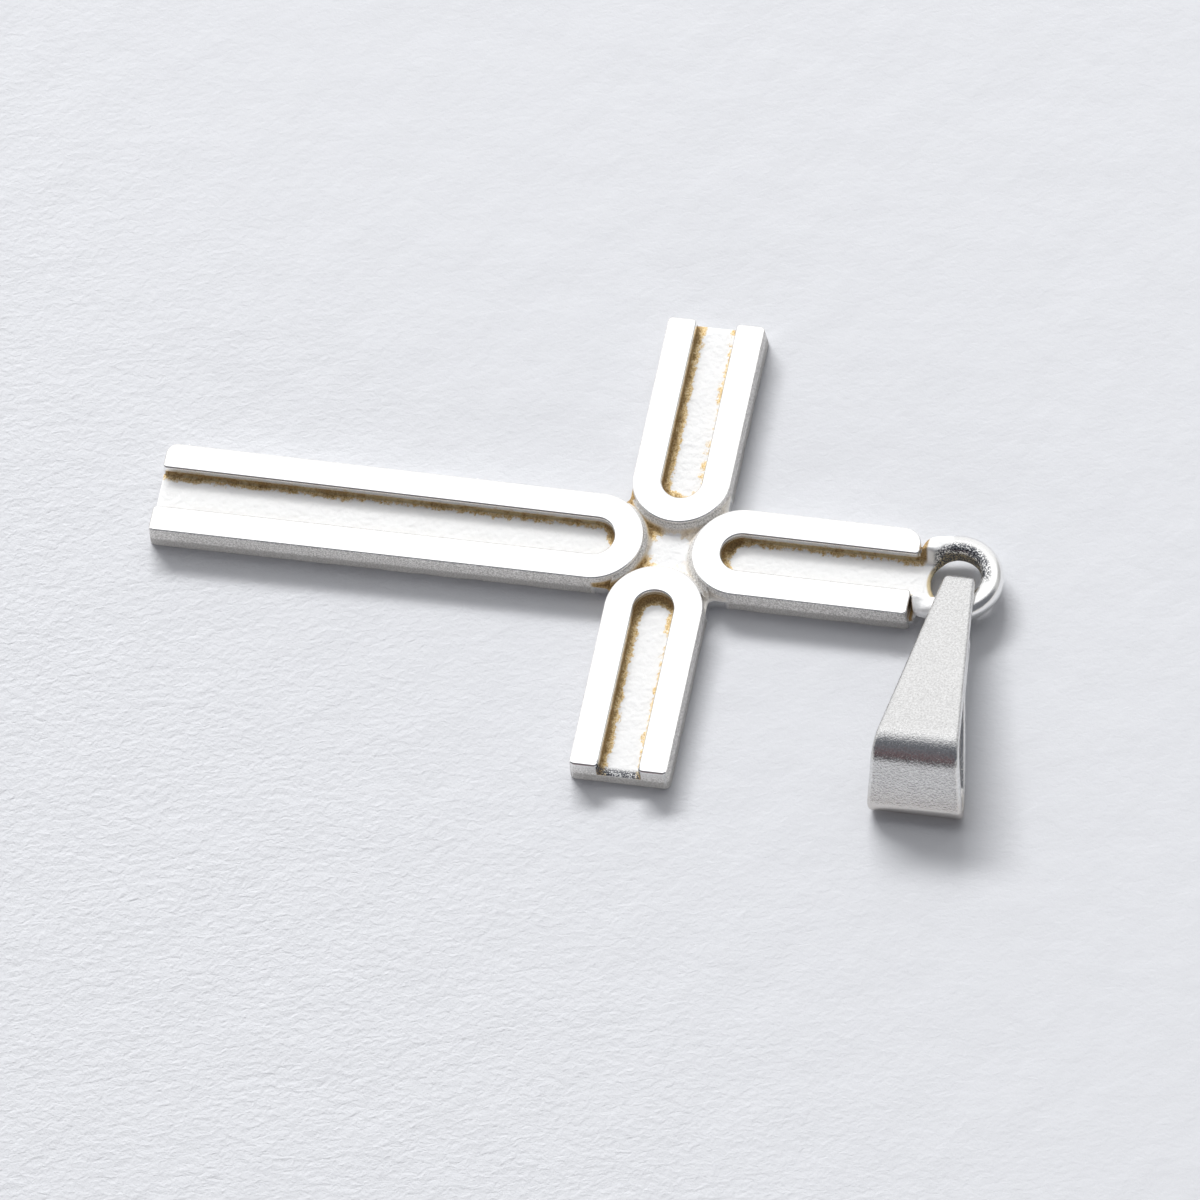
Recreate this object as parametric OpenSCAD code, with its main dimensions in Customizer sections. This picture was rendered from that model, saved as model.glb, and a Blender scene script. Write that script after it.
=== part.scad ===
// Cross pendant in cast silver: a Latin cross of four U-shaped raised rails on
// a flat back plate, with a ring cast on its top arm, and a loose tapered bail.
// The cross lies flat on its back: +Z is up out of the front, +Y runs from the
// crossing to the ring and +X is the side arm that the bail lies beside.
// All sizes are in millimetres.

/* [Cross] */
// width of every arm over its two rails
arm_w = 4.08; // [3.6:0.02:5]
// from the crossing's middle to the tip of each side arm
side_reach = 10.66; // [8:0.02:14]
// from the crossing's middle to the foot's tip
foot_reach = 21.3; // [16:0.1:28]
// from the crossing's middle to the tips of the top arm's rails
top_reach = 10.3; // [8:0.1:12]
// how much wider each side of the foot is at its tip
foot_flare = 0.06; // [0:0.01:0.2]
// whole thickness of the cross
cross_t = 1.15; // [0.9:0.05:2]
// depth of the channels and of the middle recess
recess_d = 0.55; // [0.2:0.05:0.7]

/* [Rails] */
// width of the channel between the two rails of an arm
slot_w = 1.66; // [1:0.02:2.4]
// from the crossing's middle to the centre of each rail's round end
bend_reach = 3.05; // [2.9:0.05:4]
// how much wider each side of the foot's channel is at its tip
slot_flare = 0.07; // [0:0.01:0.2]
// radius of most outer corners of the arms
tip_r = 0.25; // [0.1:0.05:0.5]
// radius of the foot's one softer corner
foot_soft_r = 0.5; // [0.1:0.05:1]
// radius of the top arm's one softer corner
top_soft_r = 0.8; // [0.1:0.05:1]

/* [Ring] */
// thickness of the ring's round wire
ring_wire = 0.9; // [0.7:0.02:1.1]
// diameter of the hole in the ring
ring_hole = 2.1; // [2:0.05:3]
// from the tips of the top arm's rails to the ring's middle
ring_past = 1.6; // [1.5:0.05:1.9]
// how far the ring's top stands above the rails
ring_proud = 0.21; // [0.1:0.01:0.4]
// width of the low root that joins the ring to the top arm
root_w = 3; // [2:0.1:3.2]
// how far the root runs on past the rail ends
root_l = 0.45; // [0.3:0.05:0.5]

/* [Bail] */
// thickness of the bail's strip
strip_t = 0.38; // [0.3:0.02:0.45]
// length of the bail from its eye's end to its fold
bail_l = 10.6; // [9:0.02:13]
// width of the bend where the strip goes down into the ring
narrow_w = 1.2; // [1.12:0.02:1.3]
// width where the strip's straight front begins
crease_w = 1.4; // [1.32:0.02:1.6]
// width of the tongue that comes back under the ring
tongue_w = 1.1; // [0.8:0.02:1.1]
// width of the strip at the wide fold
wide_w = 3.96; // [3:0.02:5]
// outer radius of the crest over the chain's opening
crest_r = 1.3; // [1:0.05:1.5]
// outer radius of the two low bends of the chain's opening
fold_r = 0.6; // [0.5:0.05:0.8]
// length of the flat between the two low bends
fold_flat = 0.85; // [0.4:0.05:1.5]
// rise of the front leg from the ring to the crest in degrees
leg_rise = 11.3; // [9:0.1:13]
// length over which the two legs are soldered together
seam_l = 2.9; // [2:0.1:3.5]
// height of the bail at its narrow end
eye_h = 1.75; // [1.7:0.01:1.9]

/* [Bail on its ring] */
// from the ring's middle to the narrow end of the bail
eye_start = 0.12; // [0.05:0.01:0.2]
// how far the bail lies to one side of the ring's middle
bail_shift = 0.28; // [0:0.01:0.28]

/* [Hidden] */
half_arm = arm_w / 2;
half_slot = slot_w / 2;
half_foot = half_arm + foot_flare;
half_foot_slot = half_slot + slot_flare;
floor_z = cross_t - recess_d;
cut_over = 1;
ring_reach = top_reach + ring_past;
ring_mid_r = (ring_hole + ring_wire) / 2;
ring_mid_z = cross_t + ring_proud - ring_wire / 2;
// the bend at the narrow end and the two under the ring
crease_r = 0.55;
under_r = 0.46;
under_inset = 0.03;
under_flat = 1.25;
// from the ring's middle to where the strip reaches its crease width
crease_x = 0.73;
// from the narrow end's bend to the soldered seam, along the front leg
seam_start = 2.65;
// how far the tongue's end runs onto the seam, and its drop below the front leg
tongue_lap = 0.4;
tongue_drop = 0.06;
// from the crest's middle to the fold's end, along the front leg
crest_back = 3;
eye_mid = eye_start + crease_r;
rise_dir = [cos(leg_rise), sin(leg_rise)];
rise_normal = [-sin(leg_rise), cos(leg_rise)];
bend_step = 6;
fine = 96;
small = 48;

// an arm's outline from the crossing to its tip at +X, with one tip corner of
// radius soft on the +Y side and one of radius plain on the -Y side
module arm_plan(reach, half_root, half_tip, plain, soft) {
    polygon([[0, -half_root], [reach - plain, -half_tip],
             [reach - plain, 0], [reach - soft, half_tip], [0, half_root]]);
    translate([0, -half_tip + plain]) square([reach, half_tip - plain]);
    square([reach, half_tip - soft]);
    translate([reach - plain, plain - half_tip]) circle(r = plain, $fn = small);
    translate([reach - soft, half_tip - soft]) circle(r = soft, $fn = small);
}

// the part of an arm that its U-shaped rail covers
module rail_plan(reach, half_root, half_tip, slot_root, slot_tip, plain, soft) {
    difference() {
        intersection() {
            arm_plan(reach, half_root, half_tip, plain, soft);
            union() {
                translate([bend_reach, 0]) circle(r = half_arm, $fn = fine);
                translate([bend_reach, -arm_w]) square([reach, 2 * arm_w]);
            }
        }
        translate([bend_reach, 0]) circle(r = half_slot, $fn = fine);
        polygon([[bend_reach, -slot_root], [reach + cut_over, -slot_tip],
                 [reach + cut_over, slot_tip], [bend_reach, slot_root]]);
    }
}

module side_plan() {
    arm_plan(side_reach, half_arm, half_arm, tip_r, tip_r);
}

module side_rail() {
    rail_plan(side_reach, half_arm, half_arm, half_slot, half_slot, tip_r, tip_r);
}

// back plate with the four raised rails
module cross_body() {
    linear_extrude(floor_z) {
        side_plan();
        rotate([0, 0, 180]) side_plan();
        rotate([0, 0, 90]) arm_plan(top_reach, half_arm, half_arm, tip_r, top_soft_r);
        rotate([0, 0, 270]) mirror([0, 1]) {
            arm_plan(foot_reach, half_arm, half_foot, tip_r, foot_soft_r);
        }
    }
    linear_extrude(cross_t) {
        side_rail();
        rotate([0, 0, 180]) side_rail();
        rotate([0, 0, 90]) {
            rail_plan(top_reach, half_arm, half_arm, half_slot, half_slot, tip_r, top_soft_r);
        }
        rotate([0, 0, 270]) mirror([0, 1]) {
            rail_plan(foot_reach, half_arm, half_foot, half_slot, half_foot_slot,
                      tip_r, foot_soft_r);
        }
    }
}

// the round ring, cast in one with the top arm, whose channel runs on through
// the ring's near side
module cast_ring() {
    translate([0, ring_reach, 0]) difference() {
        translate([0, 0, ring_mid_z]) rotate_extrude($fn = fine) {
            translate([ring_mid_r, 0]) circle(d = ring_wire, $fn = small);
        }
        translate([-half_slot, -ring_reach, floor_z]) cube([slot_w, ring_reach, cross_t]);
    }
}

// the low root between the top arm and the ring, level with the channel's floor
module ring_root() {
    translate([-root_w / 2, top_reach - cut_over, 0]) {
        cube([root_w, cut_over + root_l, floor_z]);
    }
}

module cross() {
    color("silver") union() {
        cross_body();
        cast_ring();
        ring_root();
    }
}

// direction of the outer tangent's normal between two round corners that are
// met clockwise, each given as [x, z, radius]
function tangent_dir(a, b) =
    let (dx = b[0] - a[0], dz = b[1] - a[1])
    atan2(dz, dx) + acos((a[2] - b[2]) / norm([dx, dz]));

function on_circle(c, angle) = [c[0] + c[2] * cos(angle), c[1] + c[2] * sin(angle)];

// the points of one bend of a band, between the corners before and after it
function bend_run(before, corner, after) =
    let (first = tangent_dir(before, corner),
         next = tangent_dir(corner, after),
         last = next > first ? next - 360 : next,
         steps = corner[2] > 0 ? ceil((first - last) / bend_step) : 0)
    steps == 0 ? [[corner[0], corner[1]]]
    : [for (k = [0:steps]) on_circle(corner, first + (last - first) * k / steps)];

// an opening inside the strip that follows these outer corners
module opening(corners) {
    inner = [for (c = corners) [c[0], c[1], c[2] - strip_t]];
    count = len(inner);
    polygon([for (i = [0:count - 1])
             each bend_run(inner[(i + count - 1) % count], inner[i], inner[(i + 1) % count])]);
}

// a round corner under the leg's top line, at a run along it
function under_line(run, radius) =
    let (start = [eye_mid + crease_r * rise_normal[0], eye_h],
         middle = start + run * rise_dir - radius * rise_normal)
    [middle[0], middle[1], radius];

crease = under_line(0, crease_r);
crest = under_line(bail_l - crest_back, crest_r);
seam_near = under_line(seam_start, strip_t);
seam_far = under_line(seam_start + seam_l, strip_t);
fold_front = [eye_start + bail_l - fold_r, fold_r, fold_r];
fold_back = fold_front - [fold_flat, 0, 0];
under_back = [eye_start + under_inset + under_r, under_r, under_r];
under_front = under_back + [under_flat, 0, 0];

// the bail seen from its side: an eye for the ring, the soldered legs and the
// opening for the chain
module bail_side() {
    difference() {
        polygon([
            each bend_run(under_back, crease, crest),
            each bend_run(crease, crest, fold_front),
            each bend_run(crest, fold_front, fold_back),
            each bend_run(fold_front, fold_back, seam_far),
            on_circle(seam_far, tangent_dir(fold_back, seam_far)),
            on_circle(seam_near, tangent_dir(seam_near, under_front)),
            each bend_run(seam_near, under_front, under_back),
            each bend_run(under_front, under_back, crease)
        ]);
        opening([crease, seam_near, under_front, under_back]);
        opening([seam_far, crest, fold_front, fold_back]);
    }
}

// the bail seen from above, running on past its fold
module bail_plan() {
    far = eye_start + bail_l + cut_over;
    far_w = wide_w + cut_over * (wide_w - crease_w) / (far - cut_over - crease_x);
    polygon([[0, -narrow_w / 2], [crease_x, -crease_w / 2], [far, -far_w / 2],
             [far, far_w / 2], [crease_x, crease_w / 2], [0, narrow_w / 2]]);
}

// the two sides cut away from the tongue, up to its soldered end
module tongue_sides() {
    translate([eye_mid + crease_r * rise_normal[0], 0, eye_h]) rotate([0, -leg_rise, 0]) {
        for (side = [-1, 1]) translate([-wide_w, side * (wide_w + tongue_w) / 2, -wide_w]) {
            translate([0, -wide_w / 2, 0]) {
                cube([wide_w + seam_start + tongue_lap, wide_w, wide_w - strip_t - tongue_drop]);
            }
        }
    }
}

module bail() {
    color("lightgray") translate([0, ring_reach + bail_shift, 0]) difference() {
        intersection() {
            rotate([90, 0, 0]) translate([0, 0, -wide_w]) {
                linear_extrude(2 * wide_w) bail_side();
            }
            linear_extrude(2 * wide_w) bail_plan();
        }
        tongue_sides();
    }
}

cross();
bail();
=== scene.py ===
"""A cast silver cross pendant on its back, with its loose tapered bail, on pale paper.

Every shape is worked out in millimetres with numpy and put into its mesh in metres,
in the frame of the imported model: +Z up, +Y from the crossing to the ring, +X the side
arm beside which the bail lies.
"""
import math
from types import SimpleNamespace
import bmesh
import bpy
import numpy as np
from mathutils import Matrix


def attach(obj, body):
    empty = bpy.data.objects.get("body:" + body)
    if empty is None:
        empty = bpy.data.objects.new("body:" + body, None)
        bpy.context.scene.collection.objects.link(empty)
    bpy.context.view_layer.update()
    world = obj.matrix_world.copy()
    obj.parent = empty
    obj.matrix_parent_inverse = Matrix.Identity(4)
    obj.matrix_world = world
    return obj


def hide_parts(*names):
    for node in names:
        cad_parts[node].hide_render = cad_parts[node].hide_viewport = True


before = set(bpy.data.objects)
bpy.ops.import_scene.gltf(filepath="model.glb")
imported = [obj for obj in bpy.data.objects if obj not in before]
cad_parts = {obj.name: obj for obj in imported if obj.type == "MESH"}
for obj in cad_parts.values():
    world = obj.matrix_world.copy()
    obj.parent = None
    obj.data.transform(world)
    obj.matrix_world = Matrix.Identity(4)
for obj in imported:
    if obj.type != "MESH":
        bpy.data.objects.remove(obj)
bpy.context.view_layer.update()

MM = 0.001
# edges sharper than this stay sharp in the smooth shading
CREASE_DEGREES = 38.0

# the cross: heights, reaches from the crossing's middle, and half widths at the back
TOP_Z = 1.15
FLOOR_Z = 0.6
BASE_HALF = 2.075
SLOT_HALF = 0.775
BEND_REACH = 3.05
SIDE_REACH = 10.655
FOOT_REACH = 21.295
TOP_REACH = 10.3
FOOT_FLARE = 0.065
# how far the walls lean in between the back and the top, and by the floor's height
DRAFT = 0.065
LEAN = DRAFT / TOP_Z
DRAFT_AT_FLOOR = 0.03
BACK_EDGE_R = 0.09
# how far the grained floors stand over the plate, and the underside of their blocks
FLOOR_LIFT = 0.006
SUNK_Z = 0.3
# how far the plate stays inside the rails' sides and inside their tips
PLATE_INSIDE = 0.006
PLATE_SHORT = 0.004

# the ring: its middle, the middle radius and the wire's radius
RING_Y = 11.9
RING_Z = 0.91
RING_MID_R = 1.5
RING_WIRE_R = 0.45

# the bail seen from its side, with x from the ring's middle and runs along the front leg
STRIP = 0.38
BAIL_Y = 12.18
LEG_RISE = math.radians(10.85)
LEG_START = (0.464, 1.73)
SEAM_NEAR_RUN = 2.75
SEAM_FAR_RUN = 5.65
TONGUE_HALF = 0.55


# points and outlines

def turn(points, degrees):
    """Plan points turned about the origin by an angle."""
    a = math.radians(degrees)
    c, s = round(math.cos(a), 12), round(math.sin(a), 12)
    out = points.copy()
    out[..., 0] = c * points[..., 0] - s * points[..., 1]
    out[..., 1] = s * points[..., 0] + c * points[..., 1]
    return out


def smooth(t):
    """Eases from 0 to 1: 3t^2 - 2t^3, held outside 0..1."""
    t = np.clip(t, 0.0, 1.0)
    return t * t * (3.0 - 2.0 * t)


def lattice_noise(x, y, cell, seed):
    """Value noise from -1 to 1: random numbers on a lattice of this cell, eased between."""
    size = 256
    table = np.random.default_rng(seed).uniform(-1.0, 1.0, (size, size))
    u, v = x / cell + 1000.0, y / cell + 1000.0
    iu, iv = np.floor(u).astype(int), np.floor(v).astype(int)
    fu, fv = smooth(u - iu), smooth(v - iv)
    iu, iv, next_u, next_v = iu % size, iv % size, (iu + 1) % size, (iv + 1) % size
    a, b = table[iu, iv], table[next_u, iv]
    c, d = table[iu, next_v], table[next_u, next_v]
    return (a * (1 - fu) + b * fu) * (1 - fv) + (c * (1 - fu) + d * fu) * fv


def line(start, end, step):
    """Points from start up to, not with, end, evenly spaced at about this step."""
    start, end = np.array(start, float), np.array(end, float)
    count = max(1, int(math.ceil(np.linalg.norm(end - start) / step)))
    t = np.arange(count)[:, None] / count
    return start + (end - start) * t


def arc(centre, radius, first, last, step=5.0):
    """Points of an arc between two angles in degrees, up to, not with, the last."""
    count = max(2, int(math.ceil(abs(last - first) / step)))
    a = np.radians(first + (last - first) * np.arange(count) / count)
    return np.stack([centre[0] + radius * np.cos(a), centre[1] + radius * np.sin(a)], -1)


def outward(outline):
    """Unit normals of a closed counter-clockwise outline, lengthened to keep a true inset."""
    edge = np.roll(outline, -1, 0) - outline
    edge /= np.linalg.norm(edge, axis=1, keepdims=True)
    side = np.stack([edge[:, 1], -edge[:, 0]], -1)
    both = side + np.roll(side, 1, 0)
    return both * 2.0 / np.sum(both * both, 1, keepdims=True)


# faces and objects

def ring_faces(rows, around):
    """Quads between rows of points that each close on themselves."""
    i = np.arange(rows - 1)[:, None] * around
    j = np.arange(around)[None, :]
    k = (j + 1) % around
    return np.stack([i + j, i + k, i + around + k, i + around + j], -1).reshape(-1, 4)


def tube_faces(rows, around):
    """The same quads with both end rows closed by a flat face."""
    faces = ring_faces(rows, around).tolist()
    faces.append(list(range(around))[::-1])
    faces.append([(rows - 1) * around + k for k in range(around)])
    return faces


def grid_faces(n, m):
    """Quads of an open grid of n by m points."""
    i, j = np.arange(n - 1)[:, None], np.arange(m - 1)[None, :]
    quad = np.stack([i * m + j, (i + 1) * m + j, (i + 1) * m + j + 1, i * m + j + 1], -1)
    return quad.reshape(-1, 4)


def prism(outline, rows):
    """A casting's profile carried round a closed outline: each row is (inset, height), and
    its points are the outline moved in by the inset. The first and last rows are capped."""
    normal = outward(outline)
    rows = np.array(rows, float)
    plan = outline[None] - normal[None] * rows[:, 0, None, None]
    high = np.broadcast_to(rows[:, 1, None, None], plan.shape[:2] + (1,))
    points = np.concatenate([plan, high], -1).reshape(-1, 3)
    return points, tube_faces(len(rows), len(outline))


def slab(x, y, top, bottom):
    """A closed block with a shaped top: grids x, y and top heights, and a flat bottom."""
    n, m = x.shape
    low = np.full_like(top, bottom)
    points = np.concatenate([np.stack([x, y, top], -1).reshape(-1, 3),
                             np.stack([x, y, low], -1).reshape(-1, 3)])
    quad = grid_faces(n, m)
    rim = np.concatenate([np.arange(m - 1), np.arange(n - 1) * m + m - 1,
                          (n - 1) * m + np.arange(m - 1, 0, -1), np.arange(n - 1, 0, -1) * m])
    after = np.roll(rim, -1)
    wall = np.stack([rim, after, after + n * m, rim + n * m], -1)
    faces = np.concatenate([quad, quad[:, ::-1] + n * m, wall])
    return points, faces.tolist()


def new_object(name, shell):
    """An object at the origin from a shell's points in mm, all faces turned outward."""
    points, faces = shell
    mesh = bpy.data.meshes.new(name)
    mesh.from_pydata((points * MM).tolist(), [], faces)
    work = bmesh.new()
    work.from_mesh(mesh)
    bmesh.ops.remove_doubles(work, verts=work.verts, dist=1e-9)
    bmesh.ops.recalc_face_normals(work, faces=work.faces)
    work.to_mesh(mesh)
    work.free()
    item = bpy.data.objects.new(name, mesh)
    bpy.context.scene.collection.objects.link(item)
    return item


def weld(name, shells):
    """One solid piece from overlapping closed shells, smooth but at creases."""
    first = new_object(name, shells[0])
    others = [new_object(f"{name}_part_{k}", shell) for k, shell in enumerate(shells[1:])]
    for other in others:
        union = first.modifiers.new(other.name, "BOOLEAN")
        union.operation = "UNION"
        union.solver = "MANIFOLD"
        union.object = other
    graph = bpy.context.evaluated_depsgraph_get()
    mesh = bpy.data.meshes.new_from_object(first.evaluated_get(graph))
    first.modifiers.clear()
    first.data = mesh
    mesh.name = name
    for other in others:
        bpy.data.objects.remove(other)
    mesh.materials.clear()
    mesh.polygons.foreach_set("material_index", np.zeros(len(mesh.polygons), np.int32))
    mesh.polygons.foreach_set("use_smooth", np.ones(len(mesh.polygons), bool))
    mesh.set_sharp_from_angle(angle=math.radians(CREASE_DEGREES))
    return first


# the cross: four U-shaped rails, a plate with grained floors, and a ring

def spread(points, reach):
    """The foot's rails stand a little further apart toward its tip."""
    out = points.copy()
    share = np.clip((points[..., 0] - BEND_REACH) / (reach - BEND_REACH), 0.0, 1.0)
    out[..., 1] += np.sign(points[..., 1]) * FOOT_FLARE * share
    return out


def wall_rows(top, edge_r, heights):
    """A wall's profile as (inset, height): the back's rounded edge, the drafted wall at
    these heights and a rounded edge that ends at the top."""
    quarter = np.radians(np.arange(0, 91, 18))
    shoulder = top - edge_r
    rows = [(BACK_EDGE_R * (1 - math.sin(t)), BACK_EDGE_R * (1 - math.cos(t)))
            for t in quarter]
    rows += [(LEAN * z, z) for z in heights]
    rows += [(LEAN * shoulder + edge_r * (1 - math.cos(t)), shoulder + edge_r * math.sin(t))
             for t in quarter]
    return rows


def rail_outline(reach, left_r, right_r):
    """Plan of a U rail that opens at +x: tips with rounded corners, a round bend inside
    and out. left_r rounds the outer tip corner on +y, right_r the one on -y."""
    b, s, step, inner_r = BASE_HALF, SLOT_HALF, 0.25, 0.22
    return np.concatenate([
        arc((reach - right_r, -b + right_r), right_r, -90, 0, 15),
        line((reach, -b + right_r), (reach, -s - inner_r), step),
        arc((reach - inner_r, -s - inner_r), inner_r, 0, 90, 15),
        line((reach - inner_r, -s), (BEND_REACH, -s), step),
        arc((BEND_REACH, 0), s, 270, 90),
        line((BEND_REACH, s), (reach - inner_r, s), step),
        arc((reach - inner_r, s + inner_r), inner_r, -90, 0, 15),
        line((reach, s + inner_r), (reach, b - left_r), step),
        arc((reach - left_r, b - left_r), left_r, 0, 90, 15),
        line((reach - left_r, b), (BEND_REACH, b), step),
        arc((BEND_REACH, 0), b, 90, 270, 4),
        line((BEND_REACH, -b), (reach - right_r, -b), step),
    ])


def ragged(points, seed):
    """Casting unevenness: the outer walls wander inward a little, most at the back's
    edge, by up to 0.05 mm times a slow and a fine noise."""
    x, y, z = points.T
    low = 1.0 - smooth(z / 0.55)
    slow = lattice_noise(x + 7.0 * np.sign(y), y * 3.0, 0.7, seed)
    fine = lattice_noise(x * 1.3, y * 1.3 + z, 0.28, seed + 1)
    push = 0.05 * low * (0.6 * slow + 0.4 * fine)
    out = points.copy()
    outer_wall = np.abs(y) > 1.2
    out[:, 1] -= np.where(outer_wall, np.sign(y) * (np.abs(push) + push) * 0.5, 0.0)
    return out


def rail(reach, degrees, *, seed, left_r=0.25, right_r=0.25, foot=False):
    """One arm's U-shaped rail from the back up to its top, with a fine arris round it."""
    edge_r, flat = 0.07, 0.03
    rows = wall_rows(TOP_Z, edge_r, (0.3, 0.5, 0.62, 0.75, 0.95))
    rows.append((LEAN * TOP_Z + edge_r + flat, TOP_Z))
    points, faces = prism(rail_outline(reach, left_r, right_r), rows)
    points = ragged(points, seed)
    if foot:
        points = spread(points, reach)
    return turn(points, degrees), faces


def plate():
    """The flat plate between and below the rails, with ledges in the four re-entrant
    corners and a root under the ring's near side, which ends short of the bail's tongue."""
    full, fillet = BASE_HALF - PLATE_INSIDE, 0.22
    corner = full + fillet
    ledge_end = 2.98
    # past the neck the plate's edge runs hidden under the rails
    neck, hidden_half, tip_half = 3.5, 1.55, 1.5
    root_end = 10.74

    def arm(tip):
        """One arm's edge from its lower re-entrant corner round its tip's points to the
        upper corner."""
        return np.concatenate([
            line((corner, -full), (ledge_end, -full), 0.1),
            line((ledge_end, -full), (neck, -hidden_half), 0.2),
            line((neck, -hidden_half), tip[0], 0.5),
            *[line(a, b, 0.1) for a, b in zip(tip, tip[1:])],
            line(tip[-1], (neck, hidden_half), 0.5),
            line((neck, hidden_half), (ledge_end, full), 0.2),
            line((ledge_end, full), (corner, full), 0.1),
            arc((corner, corner), fillet, 270, 180, 15),
        ])

    side, foot = (arm([(reach - PLATE_SHORT, -tip_half), (reach - PLATE_SHORT, tip_half)])
                  for reach in (SIDE_REACH, FOOT_REACH))
    top_arm = arm([(10.0, -1.6), (10.2, -1.93), (10.46, -1.88), (root_end, -1.3),
                   (root_end, 1.3), (10.42, 1.62), (10.0, 1.5)])
    outline = np.concatenate([side, turn(top_arm, 90), turn(side, 180), turn(foot, 270)])
    return prism(outline, wall_rows(FLOOR_Z, 0.1, (0.3,)))


def grained(x, y):
    """Height of the cast grain: rounded granules of 0.14 mm on a slower swell."""
    granule = lattice_noise(x, y, 0.14, 11) + 0.5 * lattice_noise(x + 3.1, y - 1.7, 0.08, 12)
    swell = lattice_noise(x, y, 0.9, 13)
    return 0.009 * granule + 0.009 * swell


def cove(gap):
    """The floor's rise where it meets a wall this far away."""
    height, width = 0.09, 0.16
    return height * np.clip(1.0 - gap / width, 0.0, 1.2) ** 2


def channel_floor(reach, degrees, foot=False):
    """A channel's grained floor: a grid from under the round end to the arm's tip, with a
    cove along the wall, and its outer end worn round."""
    step, start, short_of_tip, half_grid = 0.05, 1.9, 0.1, 1.02
    along = np.linspace(start, reach - short_of_tip, int((reach - 2.0) / step))
    x, y = np.meshgrid(along, np.linspace(-half_grid, half_grid, 42), indexing="ij")
    gap = SLOT_HALF + DRAFT_AT_FLOOR - np.hypot(np.maximum(BEND_REACH - x, 0.0), y)
    worn = np.clip((x - (reach - 0.35)) / 0.25, 0.0, 1.0)
    open_floor = 1.0 - smooth((np.abs(y) - 0.85) / 0.1)
    plan = turn(np.stack([x, y], -1), degrees)
    grain = grained(plan[..., 0], plan[..., 1]) * open_floor
    top = FLOOR_Z + FLOOR_LIFT + grain + cove(gap) * (1 - worn)
    top -= 0.05 * worn ** 2
    flat = np.stack([x, y, top], -1)
    if foot:
        flat = spread(flat, reach)
    flat = turn(flat, degrees)
    return slab(flat[..., 0], flat[..., 1], flat[..., 2], SUNK_Z)


def centre_floor():
    """The recess at the crossing: a polar grid out to the re-entrant corners' ledges, with
    a sloped skirt along the rails' round ends and its outer edge turned down."""
    around, rings = 288, 46
    quarter = math.pi / 2
    angle = np.linspace(0.0, 2 * math.pi, around, endpoint=False)
    from_arm = np.abs((angle + quarter / 2) % quarter - quarter / 2)
    from_corner = np.abs(from_arm - quarter / 2)
    reach = 1.75 + 1.02 * np.exp(-(from_corner / 0.13) ** 2) \
        + 0.1 * np.exp(-(from_corner / 0.3) ** 2)
    share = np.linspace(0.0, 1.0, rings + 1)[1:]
    x = share[:, None] * reach * np.cos(angle)
    y = share[:, None] * reach * np.sin(angle)
    along, aside = np.maximum(np.abs(x), np.abs(y)), np.minimum(np.abs(x), np.abs(y))
    gap = np.hypot(BEND_REACH - along, aside) - BASE_HALF + DRAFT_AT_FLOOR
    skirt = np.clip(1.0 - gap / 0.32, 0.0, 1.0)
    top = FLOOR_Z + FLOOR_LIFT + grained(x, y) * 0.8 + 0.4 * skirt ** 1.4
    top -= 0.07 * smooth((np.hypot(x, y) - 2.45) / 0.45)
    points = np.concatenate([
        np.stack([x, y, top], -1).reshape(-1, 3),
        np.stack([x[-1], y[-1], np.full(around, SUNK_Z)], -1),
        [[0.0, 0.0, FLOOR_Z + FLOOR_LIFT]],
    ])
    faces = ring_faces(rings + 1, around).tolist()
    pole = len(points) - 1
    faces += [[pole, k, (k + 1) % around] for k in range(around)]
    faces.append([rings * around + k for k in range(around)])
    return points, faces


def ring():
    """The round ring: a rounded square section carried round, with two shoulders toward
    the rail ends, pressed flat where the channel runs on through its near side: heights
    over its underside are shared down to the local crest height."""
    theta = np.linspace(0.0, 2 * math.pi, 200, endpoint=False)[:, None]
    phi = np.linspace(0.0, 2 * math.pi, 56, endpoint=False)[None, :]
    across, up = np.cos(phi), np.sin(phi)
    # a lower power makes that part of the section squarer
    power = np.where(across < 0, np.where(up < 0, 0.4, 0.65), 0.8)
    out = np.sign(across) * np.abs(across) ** power
    rise = np.sign(up) * np.abs(up) ** power
    from_near = np.abs((theta + math.pi) % (2 * math.pi) - math.pi)
    shoulder = 0.25 * np.exp(-((from_near - 0.9) / 0.22) ** 2)
    rho = RING_MID_R + RING_WIRE_R * out + shoulder * (1.0 + out) / 2
    x = rho * np.sin(theta)
    y = rho * -np.cos(theta)
    under, full = RING_Z - RING_WIRE_R, 2 * RING_WIRE_R
    low_crest = FLOOR_Z - 0.01 - under
    share = np.clip(smooth((np.abs(x) - 0.66) / 0.5) + smooth((y + 0.3) / 0.6), 0.0, 1.0)
    crest = low_crest + (full - low_crest) * share - 0.5 * shoulder
    z = under + RING_WIRE_R * (1.0 + rise) * crest / full
    points = np.stack([x, y + RING_Y, z], -1).reshape(-1, 3)
    n, m = theta.size, phi.size
    i, j = np.arange(n)[:, None], np.arange(m)[None, :]
    k, q = (i + 1) % n, (j + 1) % m
    faces = np.stack([i * m + j, k * m + j, k * m + q, i * m + q], -1).reshape(-1, 4)
    return points, faces.tolist()


# the bail: one strip bent round the ring's wire and round the chain's opening

def leg_corner(run, radius):
    """Centre and radius of a bend that touches the front leg's top line at this run."""
    return (LEG_START[0] + run * math.cos(LEG_RISE) + radius * math.sin(LEG_RISE),
            LEG_START[1] + run * math.sin(LEG_RISE) - radius * math.cos(LEG_RISE), radius)


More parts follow.
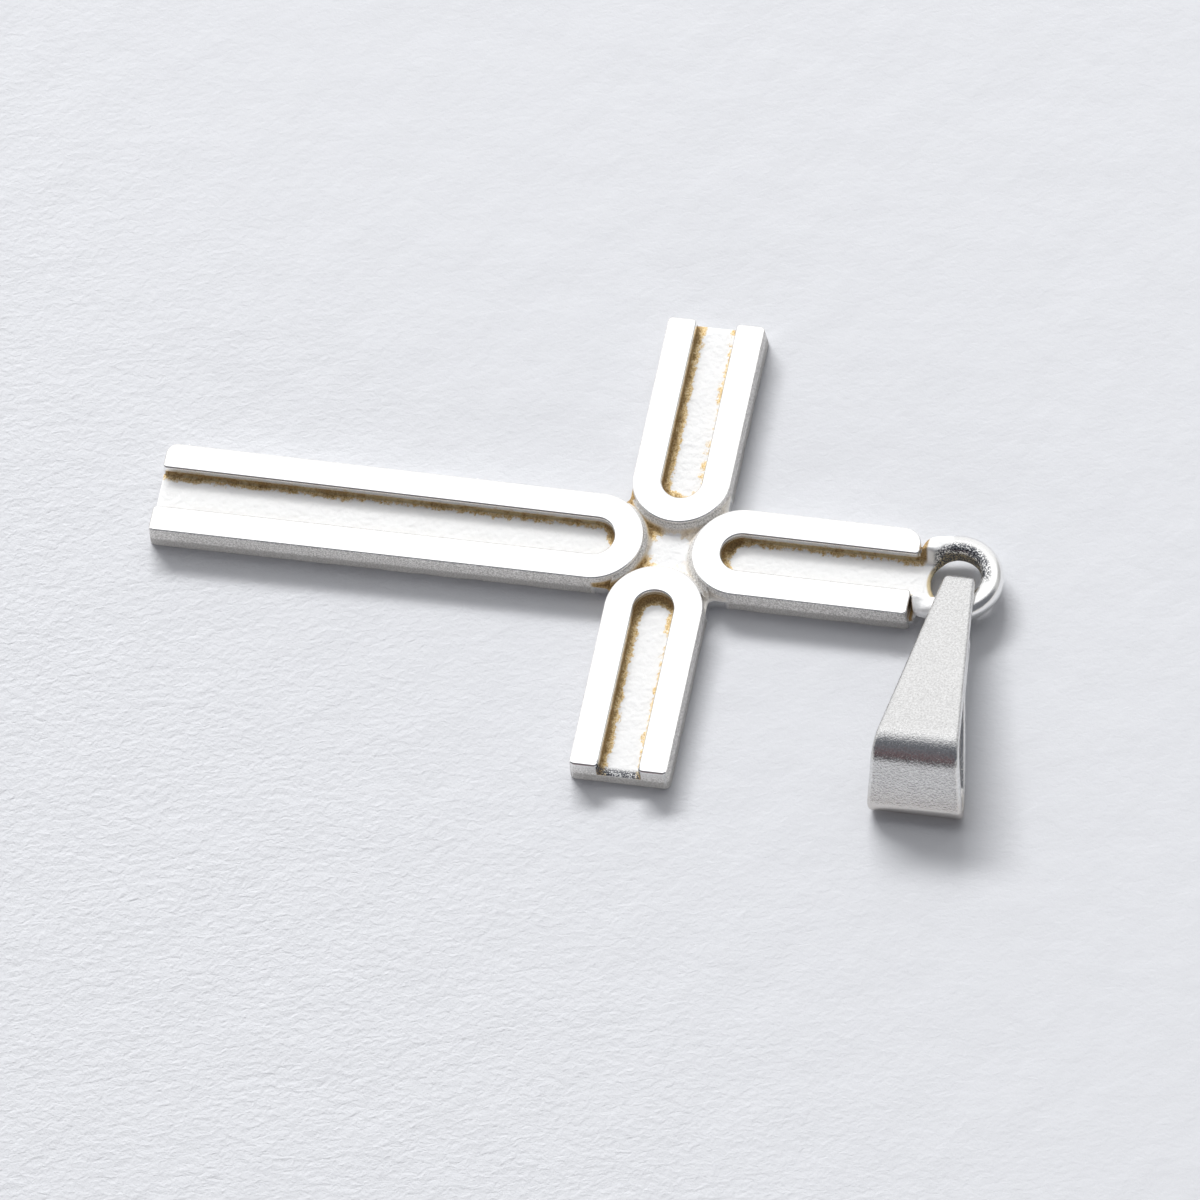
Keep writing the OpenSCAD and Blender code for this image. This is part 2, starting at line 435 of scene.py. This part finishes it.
# each bend's centre and outer radius
CREASE = leg_corner(0.0, 0.42)
CREST = leg_corner(8.0, 1.28)
SEAM_NEAR = leg_corner(SEAM_NEAR_RUN, STRIP)
SEAM_FAR = leg_corner(SEAM_FAR_RUN, STRIP)
FOLD_FRONT, FOLD_BACK = (10.12, 0.6, 0.6), (9.27, 0.6, 0.6)
UNDER_BACK, UNDER_FRONT = (0.56, 0.46, 0.46), (1.86, 0.46, 0.46)


def tangent_dir(a, b):
    """Angle of the outer tangent's normal between two bends met clockwise."""
    dx, dz = b[0] - a[0], b[1] - a[1]
    return math.atan2(dz, dx) + math.acos((a[2] - b[2]) / math.hypot(dx, dz))


def bend(before, corner, after):
    """Centreline points round one bend, from the tangent before to the tangent after."""
    step = 0.09
    first, last = tangent_dir(before, corner), tangent_dir(corner, after)
    last = last - 2 * math.pi if last > first else last
    a = np.linspace(first, last, max(3, int((first - last) / step)))
    r = corner[2] - STRIP / 2
    return np.stack([corner[0] + r * np.cos(a), corner[1] + r * np.sin(a)], -1)


def strip_shell(path, half, spare=0.0):
    """The strip's section, flat with full-round edges, carried along a centreline of (x, z)
    with a half width at each point. spare thins it a little where it lies in another."""
    step = np.gradient(path, axis=0)
    step /= np.linalg.norm(step, axis=1, keepdims=True)
    up = np.stack([-step[:, 1], step[:, 0]], -1)
    r = STRIP / 2 - spare
    flat = np.linspace(-1.0, 1.0, 13)
    edge = np.radians(np.arange(-75, 76, 15))
    ones, none = np.ones(flat.size), np.zeros(flat.size)
    side = np.concatenate([flat, np.ones(edge.size), flat[::-1], -np.ones(edge.size)])
    high = np.concatenate([-ones, np.sin(edge), ones, -np.sin(edge)]) * r
    out = np.concatenate([none, np.cos(edge), none, -np.cos(edge)]) * r
    y = side[None] * (half - spare - r)[:, None] + out[None]
    x = path[:, 0, None] + up[:, 0, None] * high[None]
    z = path[:, 1, None] + up[:, 1, None] * high[None]
    points = np.stack([x, y + BAIL_Y, z], -1).reshape(-1, 3)
    return points, tube_faces(len(path), side.size)


def filled(points):
    """The same centreline with points along its straight parts too."""
    runs = [line(points[k], points[k + 1], 0.12) for k in range(len(points) - 1)]
    return np.concatenate(runs + [points[-1:]])


def bail_half(path):
    """Half width of the strip seen from above: narrow at the ring, wide at the fold."""
    x = path[:, 0]
    narrow_half, widening = 0.6, 0.1
    crease_x, crease_half, end_x, end_half = 0.73, 0.7, 10.72, 1.98
    near = narrow_half + (x / crease_x) * widening
    far = crease_half + (x - crease_x) * (end_half - crease_half) / (end_x - crease_x)
    return np.where(x < crease_x, near, far)


def front_strip():
    """Centreline and half widths of the strip from the tongue's end on the seam, under the
    ring's wire, over the crest and round the fold."""
    down, end_r = tangent_dir(SEAM_NEAR, UNDER_FRONT), 0.2
    tongue_end = np.array([[SEAM_NEAR[0] + end_r * math.cos(down),
                            SEAM_NEAR[1] + end_r * math.sin(down)]])
    path = filled(np.concatenate([
        tongue_end,
        bend(SEAM_NEAR, UNDER_FRONT, UNDER_BACK), bend(UNDER_FRONT, UNDER_BACK, CREASE),
        bend(UNDER_BACK, CREASE, CREST), bend(CREASE, CREST, FOLD_FRONT),
        bend(CREST, FOLD_FRONT, FOLD_BACK)]))
    half = bail_half(path)
    place = np.arange(len(path))
    # the tongue widens over the four points after the strip has turned up
    turned_up = int(np.argmax((path[:, 0] < 0.4) & (path[:, 1] > 1.0)))
    tongue = TONGUE_HALF + (half - TONGUE_HALF) * smooth((place - turned_up) / 4.0)
    return path, np.where(place < turned_up + 4, tongue, half)


def back_strip(front):
    """Centreline of the strip from the fold up the back leg, then round one quadratic
    curve and on along the front leg's underside to the seam's near end."""
    along = np.array([math.cos(LEG_RISE), math.sin(LEG_RISE)])
    below = np.array([math.sin(LEG_RISE), -math.cos(LEG_RISE)])
    # how far below the leg's bend centres the seam runs, and half the curve's run
    lap, turn_run = 0.17, 0.2
    a = tangent_dir(FOLD_BACK, SEAM_FAR)
    touch = np.array(SEAM_FAR[:2]) + STRIP / 2 * np.array([math.cos(a), math.sin(a)])
    climb = np.array([math.sin(a), -math.cos(a)])
    on_leg = np.array(SEAM_FAR[:2]) + lap * below
    run = np.linalg.solve(np.stack([climb, along], -1), on_leg - touch)
    corner = touch + climb * run[0]
    t = np.linspace(0.0, 1.0, 7)[:, None]
    start, end = corner - turn_run * climb, corner - turn_run * along
    seam_turn = (1 - t) ** 2 * start + 2 * t * (1 - t) * corner + t ** 2 * end
    seam_end = np.array([np.array(SEAM_NEAR[:2]) + lap * below - 0.02 * along])
    return filled(np.concatenate([front[-3:], bend(FOLD_FRONT, FOLD_BACK, SEAM_FAR),
                                  seam_turn, seam_end]))


def bail_shells():
    """The strip as two closed shells that overlap at the fold and along the seam."""
    front, half = front_strip()
    back = back_strip(front)
    return [strip_shell(front[::-1], half[::-1]),
            strip_shell(back[::-1], bail_half(back)[::-1], spare=0.002)]


# shader maths

class Level:
    """A number that varies over a surface. Sums, products and quotients of it and plain
    numbers add the Math nodes."""

    def __init__(self, finish, socket):
        self.finish, self.socket = finish, socket

    def __add__(self, other):
        return self.finish.math("ADD", self, other)

    __radd__ = __add__

    def __sub__(self, other):
        return self.finish.math("SUBTRACT", self, other)

    def __rsub__(self, other):
        return self.finish.math("SUBTRACT", other, self)

    def __mul__(self, other):
        return self.finish.math("MULTIPLY", self, other)

    __rmul__ = __mul__

    def __truediv__(self, other):
        return self.finish.math("DIVIDE", self, other)


class Nodes:
    """A node tree, with one method for each kind of step."""

    def __init__(self, tree):
        self.tree = tree
        tree.nodes.clear()

    def node(self, kind, settings=None, sockets=None):
        """Adds a node: its settings first, then its sockets' values or links."""
        item = self.tree.nodes.new(kind)
        for name, value in (settings or {}).items():
            setattr(item, name, value)
        for name, value in (sockets or {}).items():
            value = value.socket if isinstance(value, Level) else value
            if isinstance(value, bpy.types.NodeSocket):
                self.tree.links.new(value, item.inputs[name])
            else:
                item.inputs[name].default_value = value
        return item

    def math(self, operation, first, second=0.0):
        """One Math node."""
        item = self.node("ShaderNodeMath", {"operation": operation}, {0: first, 1: second})
        return Level(self, item.outputs[0])

    def size(self, value):
        """The value without its sign."""
        return self.math("ABSOLUTE", value)

    def more(self, a, b):
        """The larger of two values."""
        return self.math("MAXIMUM", a, b)

    def less(self, a, b):
        """The smaller of two values."""
        return self.math("MINIMUM", a, b)

    def across(self, a, b):
        """The length of the vector (a, b)."""
        return self.math("SQRT", a * a + b * b)

    def fade(self, value, low, high):
        """Eases from 0 at low to 1 at high; low may be the larger."""
        item = self.node("ShaderNodeMapRange", {"interpolation_type": "SMOOTHSTEP"},
                         {"Value": value, "From Min": low, "From Max": high,
                          "To Min": 0.0, "To Max": 1.0})
        return Level(self, item.outputs[0])

    def blend(self, share, first, second):
        """A colour between two colours."""
        first, second = (colour if isinstance(colour, bpy.types.NodeSocket)
                         else (*colour, 1.0) for colour in (first, second))
        return self.node("ShaderNodeMix", {"data_type": "RGBA"},
                         {0: share, 6: first, 7: second}).outputs[2]

    def axes(self, place):
        """The three parts of a place or direction."""
        parts = self.node("ShaderNodeSeparateXYZ", {}, {0: place})
        return [Level(self, parts.outputs[k]) for k in range(3)]


class Finish(Nodes):
    """One material's nodes, with the surface's place in mm as x, y, z."""

    def __init__(self, name):
        self.material = bpy.data.materials.new(name)
        self.material.use_nodes = True
        super().__init__(self.material.node_tree)
        place = self.node("ShaderNodeTexCoord")
        self.place = self.node("ShaderNodeVectorMath", {"operation": "SCALE"},
                               {0: place.outputs["Object"], "Scale": 1000.0}).outputs[0]
        self.x, self.y, self.z = self.axes(self.place)

    def drawn_out(self, degrees, length):
        """The place, for a pattern drawn out along a direction in plan."""
        return self.node("ShaderNodeMapping", {"vector_type": "TEXTURE"}, {
            "Vector": self.place, "Scale": (length, 1.0, 1.0),
            "Rotation": (0.0, 0.0, math.radians(degrees))}).outputs[0]

    def noise(self, per_mm, detail, rough, at=None, distort=0.0):
        """Cloudy noise from 0 to 1."""
        item = self.node("ShaderNodeTexNoise", {}, {
            "Vector": at or self.place, "Scale": per_mm, "Detail": detail,
            "Roughness": rough, "Distortion": distort})
        return Level(self, item.outputs[0])

    def cells(self, per_mm):
        """Distance from the nearest of scattered points, in cells."""
        item = self.node("ShaderNodeTexVoronoi", {"feature": "F1"},
                         {"Vector": self.place, "Scale": per_mm})
        return Level(self, item.outputs["Distance"])

    def bump(self, height, strength, distance_mm):
        """A normal from a height."""
        return self.node("ShaderNodeBump", {}, {
            "Height": height, "Strength": strength, "Distance": distance_mm * MM}).outputs[0]

    def shader(self, sockets):
        """The surface's Principled shader, joined to the output."""
        surface = self.node("ShaderNodeBsdfPrincipled", {}, sockets)
        self.node("ShaderNodeOutputMaterial", {}, {"Surface": surface.outputs[0]})
        return self.material


# the cross's finish

def cross_zones(f):
    """Where each kind of surface lies on the cross, as shares from 0 to 1. spine is the
    distance from an arm's middle line, or from its bend's centre nearer the crossing."""
    ax, ay = f.size(f.x), f.size(f.y)
    along, side = f.more(ax, ay), f.less(ax, ay)
    spine = f.across(f.more(BEND_REACH - along, 0.0), side)
    to_ring = f.across(f.x, f.y - RING_Y)
    body = f.fade(f.y, 10.9, 10.6)
    in_slot = f.fade(spine, 0.93, 0.88) * f.fade(f.y, 10.55, 10.35)
    in_middle = f.fade(spine, 1.98, 2.02) * f.fade(along, 2.9, 2.7)
    above_back = f.fade(f.z, 0.5, 0.56)

    # the floors, with the channel's run on through the ring's near side
    run_on = f.fade(f.y, 11.7, 11.2) * f.fade(f.y, TOP_REACH, TOP_REACH + 0.1) \
        * f.fade(to_ring, 1.02, 1.12)
    slot_floor = f.fade(f.z, FLOOR_Z + 0.18, FLOOR_Z + 0.1) * in_slot
    middle_floor = f.fade(f.z, FLOOR_Z + 0.12, FLOOR_Z + 0.05) * in_middle
    floor = f.more(f.more(slot_floor, run_on), middle_floor) * above_back

    # the matt outer walls, end faces and skirts round the middle recess
    tip = f.more(f.fade(ax, 10.57, 10.63), f.fade(f.y, -21.2, -21.26))
    outer = f.fade(f.z, 1.147, 1.11) * f.more(f.fade(spine, 1.93, 1.98), tip) * body \
        * (1 - in_middle)
    skirts = f.fade(f.z, 1.13, 1.06) * in_middle \
        * f.fade(f.z, FLOOR_Z + 0.05, FLOOR_Z + 0.12)
    return SimpleNamespace(
        ax=ax, along=along, side=side, to_ring=to_ring, body=body, in_slot=in_slot,
        in_middle=in_middle, above_back=above_back, floor=floor, outer=outer,
        matt=f.more(outer, skirts), on_side_arm=f.fade(ax - ay, -0.03, 0.03),
        top=f.fade(f.z, 1.105, 1.14) * body,
        wall_gap=SLOT_HALF + DRAFT_AT_FLOOR - spine,
        middle_gap=spine - BASE_HALF + DRAFT_AT_FLOOR)


def cross_tarnish_and_shade(f, zone, speck, patch, grime):
    """The brown in the hollows, as shares from 0 to 1: gilt and darker umber out from the
    foot of the walls, widest on the lee side and at the round ends, shade on the channel
    walls and in the ring's hole, and painted shade in the notches between the ring and the
    rail ends."""
    lee = f.fade(f.y * zone.on_side_arm + f.x * (1 - zone.on_side_arm), 0.15, -0.15)
    on_foot = f.fade(f.y, -2.2, -2.9)
    on_top_arm = f.fade(f.y, 2.2, 2.9)
    round_end = f.fade(zone.along, 3.1, 2.45)
    wander = (speck - 0.5) * 0.4 + (grime - 0.5) * 0.5
    reach = 0.04 + 0.22 * lee + 0.3 * (patch - 0.45) + round_end * (0.12 + 0.42 * on_top_arm)
    reach = reach - 0.14 * f.more(on_foot, on_top_arm)
    reach = reach + (0.06 + 0.35 * (patch - 0.45)) * (1 - lee) * zone.on_side_arm
    edge = zone.wall_gap + wander - reach
    low_wall = f.fade(f.z, 0.93, 0.84)
    bare_mouth = f.fade(f.y, 10.2, 10.35) * f.fade(f.x, -0.2, 0.2)

    west = f.fade(f.y + 0.35 * f.x, 1.1, -0.7)
    corner = f.fade(zone.side / (zone.along + 0.01), 0.25, 0.75)
    middle_edge = zone.middle_gap + wander * 0.8 - 0.16 - 0.1 * west - 0.2 * corner
    gilt = f.more(
        f.fade(edge, 0.06, -0.06) * zone.in_slot * low_wall * (1 - bare_mouth),
        f.fade(middle_edge, 0.05, -0.06) * zone.in_middle * f.fade(f.z, 0.9, 0.72)
        * (0.15 + 0.85 * west) * (0.35 + 0.65 * corner)) * zone.above_back
    umber = f.more(
        f.fade(edge, -0.06, -0.28) * zone.in_slot * low_wall,
        0.9 * f.fade(middle_edge, -0.08, -0.25) * zone.in_middle * west * corner
        * f.fade(f.z, 0.85, 0.7)) * zone.above_back

    wall = low_wall * f.fade(f.z, FLOOR_Z, FLOOR_Z + 0.08) \
        * f.fade(zone.wall_gap, 0.05, 0.0) * zone.in_slot
    hole = f.fade(zone.to_ring, 1.26, 1.16) * f.fade(f.z, 1.22, 1.08)
    shade = f.more(wall, hole)
    # near is 1 on the +X side, where the painted notch shade is narrower and ends above the
    # back
    near = f.fade(f.x, -0.2, 0.2)
    notch_shade_z = f.more(f.fade(f.z, 1.14, 1.0), f.fade(f.y, 10.3, 10.34) * (1 - near))
    # the notches between the ring and the rail ends get dark bronze: painted shade in these
    # crevices
    notch_shade = f.fade(f.y, 10.24, 10.3) * f.fade(f.y + 0.14 * near, 10.62, 10.5) \
        * notch_shade_z * f.fade(zone.ax, 0.7, 0.85) * (1 - near * f.fade(f.z, 0.5, 0.35))
    umber_and_notch_shade = f.more(notch_shade, umber)
    return SimpleNamespace(gilt=gilt, shade=shade, umber_and_notch_shade=umber_and_notch_shade,
                           brown=f.more(f.more(gilt, shade), umber_and_notch_shade))


def cast_silver_finish():
    """Polished rails, grained white floors, matt sides with painted shade low down, brown
    tarnish in the hollows, painted shade in the ring's notches.
    """
    f = Finish("cast_silver")
    zone = cross_zones(f)
    speck = f.noise(8.0, 3.0, 0.65)
    fleck = f.noise(15.0, 2.0, 0.7)
    patch = f.noise(1.0, 2.0, 0.5)
    grime = f.noise(3.0, 3.0, 0.6)
    tarnish_and_shade = cross_tarnish_and_shade(f, zone, speck, patch, grime)

    # dark worn specks at the +X channel's mouth and on the ring's far slope
    worn_grain = fleck + 0.3 * grime
    mouth = f.fade(f.x, 10.2, 10.45) * zone.in_slot * f.fade(worn_grain, 0.54, 0.66)
    far_slope = f.fade(zone.to_ring, 1.55, 1.36) * f.fade(f.x, 0.4, -0.2) \
        * f.fade(f.y, 10.7, 11.0)
    worn = f.more(mouth, far_slope * f.fade(worn_grain, 0.56, 0.68)) * zone.above_back

    silver = f.blend(grime, (0.90, 0.895, 0.885), (0.95, 0.945, 0.935))
    cast = f.blend(speck, (0.97, 0.97, 0.965), (1.0, 1.0, 0.995))
    matt_and_low_shade = f.blend(f.fade(fleck, 0.32, 0.68), (0.54, 0.525, 0.505), (1.0, 0.985, 0.965))
    # the outer walls painted darker toward their back edge: painted shade where they come
    # near the table
    matt_and_low_shade = f.blend(f.fade(f.z, 0.6, 0.4) * zone.outer * 0.6, matt_and_low_shade, (0.36, 0.35, 0.335))
    gold = f.blend(f.fade(fleck, 0.35, 0.65), (0.96, 0.80, 0.50), (0.62, 0.40, 0.14))
    dusk = f.blend(grime, (0.62, 0.53, 0.35), (0.45, 0.36, 0.2))
    bronze = f.blend(f.fade(fleck, 0.35, 0.65), (0.46, 0.31, 0.14), (0.22, 0.135, 0.05))
    colour = f.blend(zone.floor, f.blend(zone.matt, silver, matt_and_low_shade), cast)
    colour = f.blend(tarnish_and_shade.gilt, colour, gold)
    colour = f.blend(tarnish_and_shade.shade, colour, dusk)
    # bronze: the umber tarnish, and the painted shade in the notches by the ring
    colour = f.blend(tarnish_and_shade.umber_and_notch_shade, colour, bronze)
    colour = f.blend(worn, colour, (0.10, 0.105, 0.12))

    on_ring = 1 - zone.body
    arris = f.fade(f.z, 1.148, 1.1) * zone.body
    rough = 0.07 + 0.2 * arris + 0.3 * zone.floor + 0.4 * zone.matt + 0.3 * tarnish_and_shade.brown \
        + 0.14 * on_ring
    metal = 1 - 0.5 * tarnish_and_shade.brown - 0.7 * zone.matt - 0.5 * zone.floor
    grain = f.noise(6.5, 2.0, 0.6) * (0.5 * zone.floor + 0.4 * tarnish_and_shade.brown) \
        + 1.2 * fleck * zone.matt
    scratch = f.noise(9.0, 3.0, 0.5, f.drawn_out(40.0, 9.0))
    slope = f.fade(zone.to_ring, 1.7, 1.4) * f.fade(f.x, 0.6, -0.2) * on_ring
    height = grain + 0.02 * scratch * zone.top + (0.12 * speck + 0.06 * fleck) * on_ring \
        + (0.5 * speck + 0.3 * fleck) * slope
    return f.shader({"Base Color": colour, "Metallic": metal, "Roughness": rough,
                     "Normal": f.bump(height, 0.7, 0.05)})


# the finishes of the bail and the paper

def bail_silver_finish():
    """Satin strip with fine pits, a mottled polish and a faint warm painted shade low on its
    end.
    """
    f = Finish("bail_silver")
    pits = f.cells(6.5)
    cloud = f.noise(1.4, 3.0, 0.6)
    fine = f.noise(12.0, 3.0, 0.65)
    pitted = f.fade(pits, 0.16, 0.05) * f.fade(cloud, 0.4, 0.6)
    low = f.fade(f.z, 2.0, 0.5) * f.fade(f.x, 9.0, 10.2)
    # a warm painted shade low on the bail's end, toward the table
    painted_end_shade = low * 0.34 + low * f.fade(fine, 0.5, 0.68) * 0.4
    colour = f.blend(f.fade(fine, 0.3, 0.7), (0.66, 0.655, 0.65), (0.86, 0.855, 0.85))
    colour = f.blend(pitted * 0.7, colour, (0.50, 0.46, 0.41))
    colour = f.blend(painted_end_shade, colour, (0.56, 0.48, 0.41))
    polished = f.fade(f.x, 8.4, 9.3)
    mottled = f.fade(f.x, 7.7, 8.3) * f.fade(f.x, 9.9, 9.3)
    rough = 0.15 + 0.14 * cloud + 0.15 * pitted - 0.07 * polished
    height = (fine * 1.4 + 0.8 * cloud) * (1 - 0.3 * polished + 0.9 * mottled) - 0.8 * pitted
    return f.shader({"Base Color": colour, "Metallic": 1.0, "Roughness": rough,
                     "Normal": f.bump(height, 0.5, 0.02)})


def paper_finish():
    """Pale cool paper with a fine leathery grain that deepens toward +X and -Y."""
    f = Finish("pale_paper")
    strokes = f.noise(3.4, 3.0, 0.55, f.drawn_out(105.0, 1.5), 0.4)
    pores = f.noise(7.0, 2.0, 0.6)
    swell = f.noise(0.4, 2.0, 0.5)
    deepening = 0.3 + 1.0 * f.fade(f.x - f.y, -5.0, 35.0)
    height = (strokes + pores * 0.35) * deepening + swell * 1.5
    tint = f.blend(pores, (0.64, 0.648, 0.672), (0.655, 0.663, 0.687))
    return f.shader({"Base Color": tint, "Roughness": 0.8, "Specular IOR Level": 0.2,
                     "Normal": f.bump(height, 1.0, 0.05)})


# the table, the light and the camera

def table_top():
    """A wide flat sheet on the surface that the cross rests on."""
    half, points_a_side = 450.0, 13
    ticks = np.linspace(-half, half, points_a_side)
    x, y = np.meshgrid(ticks, ticks, indexing="ij")
    points = np.stack([x, y, np.zeros_like(x)], -1).reshape(-1, 3)
    faces = grid_faces(points_a_side, points_a_side)
    mesh = bpy.data.meshes.new("table_top")
    mesh.from_pydata((points * MM).tolist(), [], faces.tolist())
    item = bpy.data.objects.new("table_top", mesh)
    bpy.context.scene.collection.objects.link(item)
    mesh.materials.append(paper_finish())
    return item


def panel(name, azimuth, elevation, width, height, radiance):
    """A soft light that faces the cross from 1.5 m: azimuth from +X toward +Y, sizes in
    metres, and its power from the radiance wanted over its area. Polished metal doesn't
    mirror it."""
    reach = 1.5
    data = bpy.data.lights.new(name, "AREA")
    data.shape = "RECTANGLE"
    data.size, data.size_y = width, height
    data.energy = radiance * math.pi * width * height
    item = bpy.data.objects.new(name, data)
    a, e = math.radians(azimuth), math.radians(elevation)
    away = np.array([math.cos(a) * math.cos(e), math.sin(a) * math.cos(e), math.sin(e)])
    right = np.array([-math.sin(a), math.cos(a), 0.0])
    up = np.cross(away, right)
    turned = Matrix(np.stack([right, up, away], -1).tolist()).to_4x4()
    turned.translation = (away * reach).tolist()
    item.matrix_world = turned
    item.visible_glossy = False
    bpy.context.scene.collection.objects.link(item)


def surroundings():
    """The room: a wide pale window wall behind the cross, from near overhead down to the
    horizon, a dim ceiling on the camera's side and a pale band low all round. A short warm
    streak with a darker one below it hangs where the bail's crest mirrors it, and the pale
    band sinks lower there."""
    world = bpy.data.worlds.new("room")
    bpy.context.scene.world = world
    world.use_nodes = True
    n = Nodes(world.node_tree)
    x, y, z = n.axes(n.node("ShaderNodeTexCoord").outputs["Generated"])
    # the crest mirrors the room where y is -0.19
    off_crest = n.size(y + 0.19)
    short = n.fade(off_crest, 0.45, 0.25)
    lean = n.math("ARCTAN2", -1.0 * x - 0.1 * y, z)
    window = n.fade(lean, 0.16, 0.3)
    window_level = (1.18 - 0.38 * n.fade(lean, 0.6, 0.85)) \
        * (1 - 0.65 * n.fade(off_crest, 0.5, 0.8))
    low = (n.fade(z, 0.235, 0.155) * (1 - short) + n.fade(z, 0.09, 0.01) * short) \
        * (1 - window)
    dark_line = n.fade(z, 0.42, 0.36) * (1 - low) * (1 - window) * short
    warm_line = n.fade(z, 0.4, 0.46) * n.fade(z, 0.64, 0.57) * short
    strength = 0.18 + window * window_level + 0.55 * low - 0.11 * dark_line \
        + 0.04 * warm_line
    room = n.blend(warm_line, (0.86, 0.90, 1.0), (1.0, 0.46, 0.44))
    colour = n.blend(window, n.blend(low, room, (1.0, 0.975, 0.94)), (0.99, 0.995, 1.0))
    back = n.node("ShaderNodeBackground", {}, {"Color": colour, "Strength": strength})
    n.node("ShaderNodeOutputWorld", {}, {"Surface": back.outputs[0]})


# the camera's turning, one row for each axis, and its place in metres
CAMERA_TURN = ((-0.1923818, -0.8567161, 0.4785675),
               (0.9749997, -0.1116115, 0.1921417),
               (-0.1111972, 0.5035677, 0.8567699))
CAMERA_PLACE = (0.3898187, 0.1531105, 0.6937608)


def camera():
    """A long lens 59 degrees above the table, from the +X side."""
    data = bpy.data.cameras.new("camera")
    data.sensor_width = 36.0
    data.lens = 600.0
    data.clip_start, data.clip_end = 0.05, 5.0
    turned = Matrix(CAMERA_TURN).to_4x4()
    turned.translation = CAMERA_PLACE
    item = bpy.data.objects.new("camera", data)
    item.matrix_world = turned
    bpy.context.scene.collection.objects.link(item)
    bpy.context.scene.camera = item


bpy.context.scene.view_settings.view_transform = "Standard"
camera()
surroundings()
panel("bright_pane", 205.0, 37.0, 0.9, 0.26, 36.5)
panel("soft_fill", 5.0, 8.0, 1.2, 0.4, 4.0)
table_top()

cross = weld("cast_cross", [
    plate(),
    rail(SIDE_REACH, 0, seed=21),
    rail(TOP_REACH, 90, left_r=0.8, seed=22),
    rail(SIDE_REACH, 180, seed=23),
    rail(FOOT_REACH, 270, right_r=0.5, foot=True, seed=24),
    channel_floor(SIDE_REACH, 0),
    channel_floor(10.8, 90),
    channel_floor(SIDE_REACH, 180),
    channel_floor(FOOT_REACH, 270, foot=True),
    centre_floor(),
    ring(),
])
cross.data.materials.append(cast_silver_finish())
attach(cross, "cross_body")
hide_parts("cross")

bail = weld("strip_bail", bail_shells())
bail.data.materials.append(bail_silver_finish())
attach(bail, "bail_body")
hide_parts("bail")
